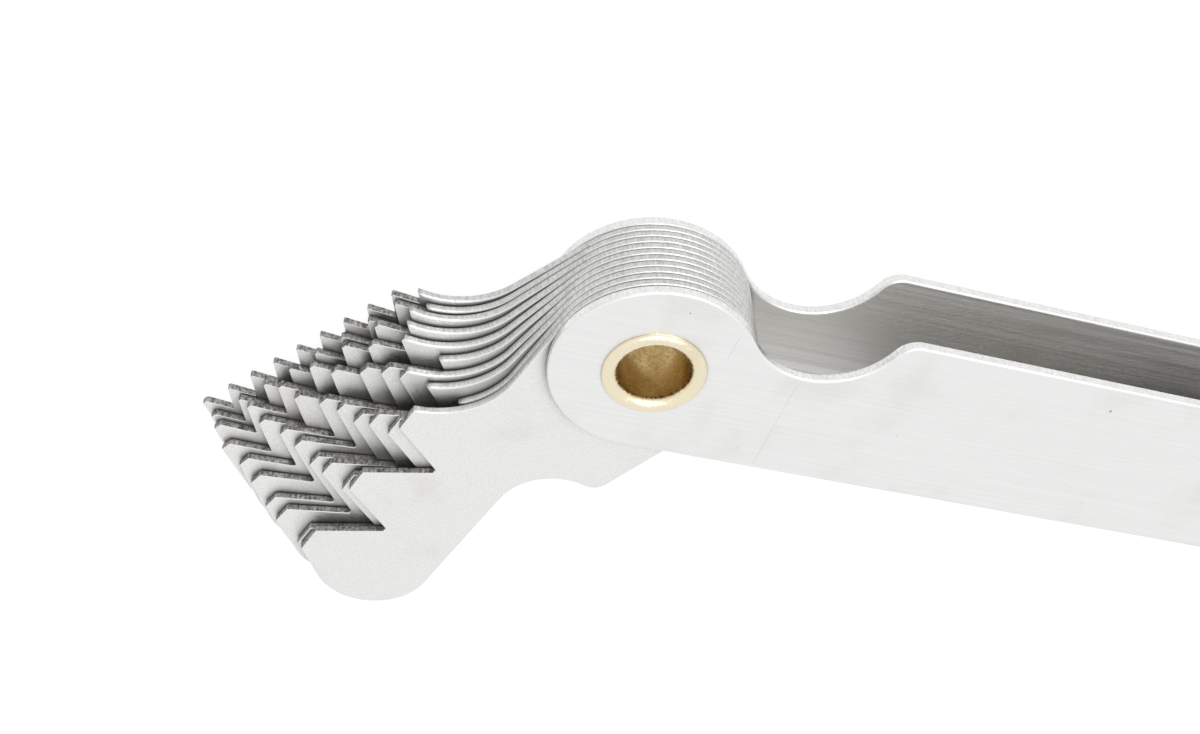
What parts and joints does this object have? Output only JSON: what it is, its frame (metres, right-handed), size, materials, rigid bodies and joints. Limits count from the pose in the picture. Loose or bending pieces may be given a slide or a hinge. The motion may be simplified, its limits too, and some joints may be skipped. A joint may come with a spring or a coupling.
{
  "type": "thread pitch gauge",
  "caption": "Folding screw pitch gauge: toothed steel leaves turn on tubular rivets at both ends of a folded sheet-steel case.",
  "frame": {"origin": "on the coarse pivot's axis, halfway through the case's thickness", "axes": "+X along the case from the coarse pivot to the fine pivot, +Y from the folded edge to the open edge, +Z along the pivots to the front cheek"},
  "size_m": [0.095, 0.0303, 0.007],
  "materials": {
    "case_steel": "satin, brushed along the case, deburred bright edges",
    "leaf_steel": "fine matte, darker punched tooth edges",
    "eyelet_brass": "pale polished, rolled over"
  },
  "bodies": {
    "case": {"case": "case_steel", "coarse_eyelet": "eyelet_brass", "fine_eyelet": "eyelet_brass"},
    "leaf_6_00_mm": {"leaf_6_00_mm": "leaf_steel"},
    "leaf_5_50_mm": {"leaf_5_50_mm": "leaf_steel"},
    "leaf_5_00_mm": {"leaf_5_00_mm": "leaf_steel"},
    "leaf_4_50_mm": {"leaf_4_50_mm": "leaf_steel"},
    "leaf_4_00_mm": {"leaf_4_00_mm": "leaf_steel"},
    "leaf_3_50_mm": {"leaf_3_50_mm": "leaf_steel"},
    "leaf_3_00_mm": {"leaf_3_00_mm": "leaf_steel"},
    "leaf_2_50_mm": {"leaf_2_50_mm": "leaf_steel"},
    "leaf_2_00_mm": {"leaf_2_00_mm": "leaf_steel"},
    "leaf_1_75_mm": {"leaf_1_75_mm": "leaf_steel"},
    "leaf_1_50_mm": {"leaf_1_50_mm": "leaf_steel"},
    "leaf_1_25_mm": {"leaf_1_25_mm": "leaf_steel"},
    "leaf_1_00_mm": {"leaf_1_00_mm": "leaf_steel"},
    "leaf_0_80_mm": {"leaf_0_80_mm": "leaf_steel"},
    "leaf_0_75_mm": {"leaf_0_75_mm": "leaf_steel"},
    "leaf_0_70_mm": {"leaf_0_70_mm": "leaf_steel"},
    "leaf_0_60_mm": {"leaf_0_60_mm": "leaf_steel"},
    "leaf_0_50_mm": {"leaf_0_50_mm": "leaf_steel"},
    "leaf_0_45_mm": {"leaf_0_45_mm": "leaf_steel"},
    "leaf_0_40_mm": {"leaf_0_40_mm": "leaf_steel"}
  },
  "joints": [
    {"name": "turn_6_00", "type": "hinge", "parent": "case", "child": "leaf_6_00_mm", "pos_m": [0, 0, 0], "axis": [0, 0, 1], "range_deg": [-235.3, 90.6]},
    {"name": "turn_5_50", "type": "hinge", "parent": "case", "child": "leaf_5_50_mm", "pos_m": [0, 0, 0], "axis": [0, 0, 1], "range_deg": [-234.9, 91]},
    {"name": "turn_5_00", "type": "hinge", "parent": "case", "child": "leaf_5_00_mm", "pos_m": [0, 0, 0], "axis": [0, 0, 1], "range_deg": [-230.6, 95.3]},
    {"name": "turn_4_50", "type": "hinge", "parent": "case", "child": "leaf_4_50_mm", "pos_m": [0, 0, 0], "axis": [0, 0, 1], "range_deg": [-228.5, 97.4]},
    {"name": "turn_4_00", "type": "hinge", "parent": "case", "child": "leaf_4_00_mm", "pos_m": [0, 0, 0], "axis": [0, 0, 1], "range_deg": [-224.8, 101.1]},
    {"name": "turn_3_50", "type": "hinge", "parent": "case", "child": "leaf_3_50_mm", "pos_m": [0, 0, 0], "axis": [0, 0, 1], "range_deg": [-222.1, 103.8]},
    {"name": "turn_3_00", "type": "hinge", "parent": "case", "child": "leaf_3_00_mm", "pos_m": [0, 0, 0], "axis": [0, 0, 1], "range_deg": [-219.1, 106.8]},
    {"name": "turn_2_50", "type": "hinge", "parent": "case", "child": "leaf_2_50_mm", "pos_m": [0, 0, 0], "axis": [0, 0, 1], "range_deg": [-216.4, 109.5]},
    {"name": "turn_2_00", "type": "hinge", "parent": "case", "child": "leaf_2_00_mm", "pos_m": [0, 0, 0], "axis": [0, 0, 1], "range_deg": [-215.4, 110.5]},
    {"name": "turn_1_75", "type": "hinge", "parent": "case", "child": "leaf_1_75_mm", "pos_m": [0, 0, 0], "axis": [0, 0, 1], "range_deg": [-213.6, 112.3]},
    {"name": "turn_1_50", "type": "hinge", "parent": "case", "child": "leaf_1_50_mm", "pos_m": [0.066, 0, 0], "axis": [0, 0, -1], "range_deg": [0, 325.9]},
    {"name": "turn_1_25", "type": "hinge", "parent": "case", "child": "leaf_1_25_mm", "pos_m": [0.066, 0, 0], "axis": [0, 0, -1], "range_deg": [0, 325.9]},
    {"name": "turn_1_00", "type": "hinge", "parent": "case", "child": "leaf_1_00_mm", "pos_m": [0.066, 0, 0], "axis": [0, 0, -1], "range_deg": [0, 325.9]},
    {"name": "turn_0_80", "type": "hinge", "parent": "case", "child": "leaf_0_80_mm", "pos_m": [0.066, 0, 0], "axis": [0, 0, -1], "range_deg": [0, 325.9]},
    {"name": "turn_0_75", "type": "hinge", "parent": "case", "child": "leaf_0_75_mm", "pos_m": [0.066, 0, 0], "axis": [0, 0, -1], "range_deg": [0, 325.9]},
    {"name": "turn_0_70", "type": "hinge", "parent": "case", "child": "leaf_0_70_mm", "pos_m": [0.066, 0, 0], "axis": [0, 0, -1], "range_deg": [0, 325.9]},
    {"name": "turn_0_60", "type": "hinge", "parent": "case", "child": "leaf_0_60_mm", "pos_m": [0.066, 0, 0], "axis": [0, 0, -1], "range_deg": [0, 325.9]},
    {"name": "turn_0_50", "type": "hinge", "parent": "case", "child": "leaf_0_50_mm", "pos_m": [0.066, 0, 0], "axis": [0, 0, -1], "range_deg": [0, 325.9]},
    {"name": "turn_0_45", "type": "hinge", "parent": "case", "child": "leaf_0_45_mm", "pos_m": [0.066, 0, 0], "axis": [0, 0, -1], "range_deg": [0, 325.9]},
    {"name": "turn_0_40", "type": "hinge", "parent": "case", "child": "leaf_0_40_mm", "pos_m": [0.066, 0, 0], "axis": [0, 0, -1], "range_deg": [0, 325.9]}
  ]
}
